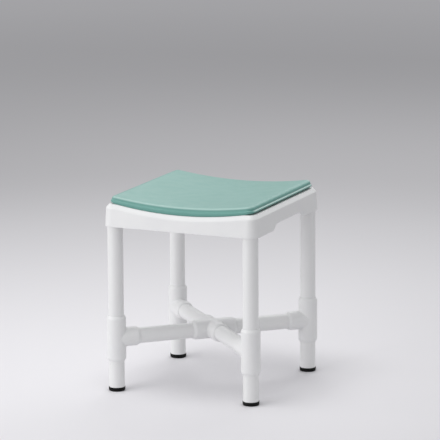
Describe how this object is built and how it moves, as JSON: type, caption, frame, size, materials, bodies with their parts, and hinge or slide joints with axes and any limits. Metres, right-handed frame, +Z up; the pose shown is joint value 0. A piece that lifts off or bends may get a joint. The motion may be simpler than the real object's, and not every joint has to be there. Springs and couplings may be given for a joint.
{
  "type": "shower stool",
  "caption": "Square bathing stool: white plastic-pipe legs braced by a diagonal cross, black rubber feet, moulded seat frame and a dished lift-off foam pad.",
  "frame": {"origin": "on the floor, under the middle of the seat", "axes": "+Z up, front towards -Y, +X to the right of someone facing the stool's front; the seat is dished from side to side, along X"},
  "size_m": [0.4238, 0.4238, 0.5097],
  "materials": {
    "frame_plastic": "satin",
    "pipe_plastic": "satin",
    "fitting_plastic": "satin",
    "pad_skin": "satin",
    "carrier_plastic": "matte",
    "foot_rubber": "matte",
    "screw_steel": "satin"
  },
  "bodies": {
    "root": {"seat_frame": "frame_plastic", "leg_upper_front_left": "pipe_plastic", "leg_lower_front_left": "pipe_plastic", "brace_front_left": "pipe_plastic", "tee_front_left": "fitting_plastic", "foot_front_left": "foot_rubber", "leg_upper_front_right": "pipe_plastic", "leg_lower_front_right": "pipe_plastic", "brace_front_right": "pipe_plastic", "tee_front_right": "fitting_plastic", "foot_front_right": "foot_rubber", "leg_upper_back_left": "pipe_plastic", "leg_lower_back_left": "pipe_plastic", "brace_back_left": "pipe_plastic", "tee_back_left": "fitting_plastic", "foot_back_left": "foot_rubber", "leg_upper_back_right": "pipe_plastic", "leg_lower_back_right": "pipe_plastic", "brace_back_right": "pipe_plastic", "tee_back_right": "fitting_plastic", "foot_back_right": "foot_rubber", "cross_fitting": "fitting_plastic", "leg_screws": "screw_steel"},
    "pad": {"seat_pad": "pad_skin", "pad_base_plate": "carrier_plastic", "pad_pegs": "carrier_plastic"}
  },
  "joints": [
    {"name": "pad_lift", "type": "slide", "parent": "root", "child": "pad", "axis": [0, 0, 1], "range_m": [0, 0.08]}
  ]
}
